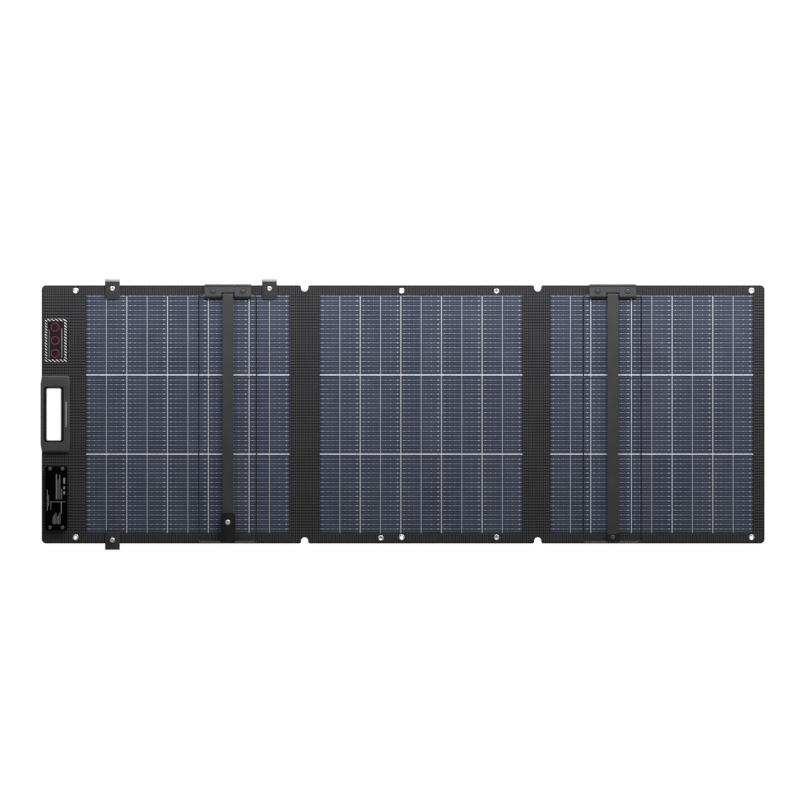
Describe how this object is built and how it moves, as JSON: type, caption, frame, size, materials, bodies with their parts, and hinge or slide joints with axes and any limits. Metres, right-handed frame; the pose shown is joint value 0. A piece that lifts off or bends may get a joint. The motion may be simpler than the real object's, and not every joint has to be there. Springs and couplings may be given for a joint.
{
  "type": "folding solar blanket",
  "caption": "Three-panel folding solar blanket laid flat with its rear side up, with fold-out wire stands, hand grip, junction box, eyelets and snap tabs.",
  "frame": {"origin": "middle of the opened blanket (without grip, brackets and tabs), on its sun side, which lies down", "axes": "+X along the blanket, away from the hand grip; +Y towards the edge that carries the stand brackets; +Z out of the rear side, which carries the stands"},
  "size_m": [1.5227, 0.5688, 0.0197],
  "materials": {
    "woven_skin": "black laminated cloth with a fine raised weave",
    "cell_laminate": "slate blue quarter-cut cells with fine bright busbars under a clear matt film",
    "fold_fabric": "black flexible cloth web",
    "strap": "black close-woven webbing",
    "moulding": "charcoal moulded plastic, satin",
    "gloss_lid": "black gloss plastic",
    "label": "printed film with a plain hatched rim",
    "board": "green circuit board",
    "coated_steel": "charcoal powder coat with a fine grain",
    "wire_steel": "dark coated wire, satin",
    "bright_metal": "nickel plated",
    "black_screw": "black zinc",
    "rubber": "matt black rubber"
  },
  "bodies": {
    "left_panel": {"bracket_screw_left_1": "black_screw", "bracket_screw_left_2": "black_screw", "cable_grommet": "rubber", "cell_laminate_left": "cell_laminate", "clamp_plate_left": "coated_steel", "eyelet_bottom_left": "bright_metal", "eyelet_top_left": "bright_metal", "fold_web_left_outer": "fold_fabric", "front_skin_left": "woven_skin", "grip_front_shell": "moulding", "grip_rear_shell": "moulding", "hinge_pin_left": "bright_metal", "junction_board": "board", "junction_box_base": "moulding", "junction_box_lid": "gloss_lid", "junction_screw_1": "black_screw", "junction_screw_2": "black_screw", "junction_screw_3": "black_screw", "junction_screw_4": "black_screw", "label_plate": "label", "rear_skin_left": "woven_skin", "stand_bracket_left": "moulding"},
    "right_panel": {"bracket_screw_right_1": "black_screw", "bracket_screw_right_2": "black_screw", "cell_laminate_right": "cell_laminate", "clamp_plate_right": "coated_steel", "eyelet_bottom_right": "bright_metal", "eyelet_top_right": "bright_metal", "fold_web_right_outer": "fold_fabric", "front_skin_right": "woven_skin", "hinge_pin_right": "bright_metal", "rear_skin_right": "woven_skin", "stand_bracket_right": "moulding"},
    "middle_panel": {"cell_laminate_middle": "cell_laminate", "eyelet_bottom_middle": "bright_metal", "eyelet_top_middle": "bright_metal", "fold_web_left_inner": "fold_fabric", "fold_web_right_inner": "fold_fabric", "front_skin_middle": "woven_skin", "rear_skin_middle": "woven_skin", "snap_stud_bottom_left": "bright_metal", "snap_stud_bottom_right": "bright_metal", "snap_stud_top_right": "bright_metal"},
    "closure_1": {"closure_snap_1": "bright_metal", "closure_tab_1": "strap"},
    "closure_2": {"closure_snap_2": "bright_metal", "closure_tab_2": "strap"},
    "closure_3": {"closure_snap_3": "bright_metal", "closure_tab_3": "strap"},
    "leg_left": {"foot_rivet_left": "bright_metal", "keeper_loop": "strap", "stand_bar_left": "coated_steel", "stand_foot_left": "rubber", "stand_wire_left": "wire_steel"},
    "leg_right": {"foot_rivet_right": "bright_metal", "stand_bar_right": "coated_steel", "stand_foot_right": "rubber", "stand_wire_right": "wire_steel"},
    "keeper": {"keeper_snap": "bright_metal", "keeper_strap": "strap"}
  },
  "joints": [
    {"name": "fold_left", "type": "hinge", "parent": "middle_panel", "child": "left_panel", "pos_m": [-0.2073, 0, -0.009], "axis": [0, 1, 0], "range_deg": [-180, 0]},
    {"name": "fold_right", "type": "hinge", "parent": "middle_panel", "child": "right_panel", "pos_m": [0.2831, 0, -0.0005], "axis": [0, -1, 0], "range_deg": [-180, 0]},
    {"name": "leg_left_swing", "type": "hinge", "parent": "left_panel", "child": "leg_left", "pos_m": [-0.3684, 0.251, 0.0092], "axis": [-1, 0, 0], "range_deg": [0, 90]},
    {"name": "leg_right_swing", "type": "hinge", "parent": "right_panel", "child": "leg_right", "pos_m": [0.4409, 0.251, 0.0092], "axis": [-1, 0, 0], "range_deg": [0, 90]},
    {"name": "closure_tab_1_fold", "type": "hinge", "parent": "left_panel", "child": "closure_1", "pos_m": [-0.6115, 0.2845, 0.00525], "axis": [-1, 0, 0], "range_deg": [0, 180]},
    {"name": "closure_tab_2_fold", "type": "hinge", "parent": "left_panel", "child": "closure_2", "pos_m": [-0.2813, 0.2845, 0.00525], "axis": [-1, 0, 0], "range_deg": [0, 180]},
    {"name": "closure_tab_3_fold", "type": "hinge", "parent": "left_panel", "child": "closure_3", "pos_m": [-0.6115, -0.2845, 0.00525], "axis": [1, 0, 0], "range_deg": [0, 180]},
    {"name": "keeper_strap_fold", "type": "hinge", "parent": "leg_left", "child": "keeper", "pos_m": [-0.3684, -0.2686, 0.0132], "axis": [1, 0, 0], "range_deg": [0, 180]}
  ]
}
